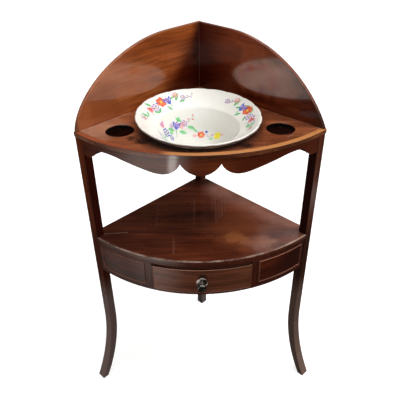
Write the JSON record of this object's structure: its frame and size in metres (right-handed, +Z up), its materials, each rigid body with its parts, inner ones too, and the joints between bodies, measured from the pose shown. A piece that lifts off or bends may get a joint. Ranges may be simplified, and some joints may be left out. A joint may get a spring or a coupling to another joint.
{
  "type": "corner washstand",
  "caption": "Bow-front corner washstand with high splashback, lift-out basin, shaped apron, mid shelf, frieze drawer with turned knob and outswept front legs.",
  "frame": {"origin": "middle of the footprint of the bounding box, on the floor", "axes": "+Z up, the bowed front faces -Y, the back corner points to +Y, +X to the right seen from the front"},
  "size_m": [0.6948, 0.4618, 1.05],
  "materials": {
    "basin": "cream white glaze",
    "drawer_back": "unpolished oak",
    "drawer_bottom": "unpolished oak",
    "drawer_edge_bead": "polished mahogany",
    "drawer_front": "polished mahogany",
    "drawer_guide_left": "plain secondary wood",
    "drawer_guide_right": "plain secondary wood",
    "drawer_kicker_left": "plain secondary wood",
    "drawer_kicker_right": "plain secondary wood",
    "drawer_nails": "dull steel",
    "drawer_runner_left": "plain secondary wood",
    "drawer_runner_right": "plain secondary wood",
    "drawer_side_left": "unpolished oak",
    "drawer_side_right": "unpolished oak",
    "drawer_stile_left": "polished mahogany",
    "drawer_stile_right": "polished mahogany",
    "drawer_stops": "plain secondary wood",
    "dummy_bead_left": "polished mahogany",
    "dummy_bead_right": "polished mahogany",
    "dummy_front_left": "polished mahogany",
    "dummy_front_right": "polished mahogany",
    "frieze_lower_rail": "polished mahogany",
    "frieze_upper_rail": "polished mahogany",
    "front_apron": "polished mahogany",
    "front_leg_left": "polished mahogany",
    "front_leg_right": "polished mahogany",
    "knob": "aged brass, dull and dark in places",
    "knob_nut": "aged brass, dull and dark in places",
    "knob_rose": "aged brass, dull and dark in places",
    "lower_rail_left": "plain secondary wood",
    "lower_rail_right": "plain secondary wood",
    "mid_shelf": "polished mahogany",
    "rear_leg": "polished mahogany",
    "shelf_glue_blocks": "plain secondary wood",
    "splashback_left": "polished mahogany",
    "splashback_right": "polished mahogany",
    "splashback_screws": "dull steel",
    "top_board": "polished mahogany",
    "top_edge_band": "polished light straight-grained wood",
    "top_glue_blocks": "plain secondary wood",
    "top_rail_left": "plain secondary wood",
    "top_rail_right": "plain secondary wood"
  },
  "bodies": {
    "stand": {"drawer_guide_left": "drawer_guide_left", "drawer_guide_right": "drawer_guide_right", "drawer_kicker_left": "drawer_kicker_left", "drawer_kicker_right": "drawer_kicker_right", "drawer_runner_left": "drawer_runner_left", "drawer_runner_right": "drawer_runner_right", "drawer_stile_left": "drawer_stile_left", "drawer_stile_right": "drawer_stile_right", "drawer_stops": "drawer_stops", "dummy_bead_left": "dummy_bead_left", "dummy_bead_right": "dummy_bead_right", "dummy_front_left": "dummy_front_left", "dummy_front_right": "dummy_front_right", "frieze_lower_rail": "frieze_lower_rail", "frieze_upper_rail": "frieze_upper_rail", "front_apron": "front_apron", "front_leg_left": "front_leg_left", "front_leg_right": "front_leg_right", "lower_rail_left": "lower_rail_left", "lower_rail_right": "lower_rail_right", "mid_shelf": "mid_shelf", "rear_leg": "rear_leg", "shelf_glue_blocks": "shelf_glue_blocks", "splashback_left": "splashback_left", "splashback_right": "splashback_right", "splashback_screws": "splashback_screws", "top_board": "top_board", "top_edge_band": "top_edge_band", "top_glue_blocks": "top_glue_blocks", "top_rail_left": "top_rail_left", "top_rail_right": "top_rail_right"},
    "drawer": {"drawer_front": "drawer_front", "drawer_edge_bead": "drawer_edge_bead", "drawer_side_left": "drawer_side_left", "drawer_side_right": "drawer_side_right", "drawer_back": "drawer_back", "drawer_bottom": "drawer_bottom", "drawer_nails": "drawer_nails", "knob_rose": "knob_rose", "knob": "knob", "knob_nut": "knob_nut"},
    "basin": {"basin": "basin"}
  },
  "joints": [
    {"name": "drawer_slide", "type": "slide", "parent": "stand", "child": "drawer", "axis": [0, -1, 0], "range_m": [0, 0.16]},
    {"name": "basin_lift", "type": "slide", "parent": "stand", "child": "basin", "axis": [0, 0, 1], "range_m": [0, 0.12]}
  ]
}
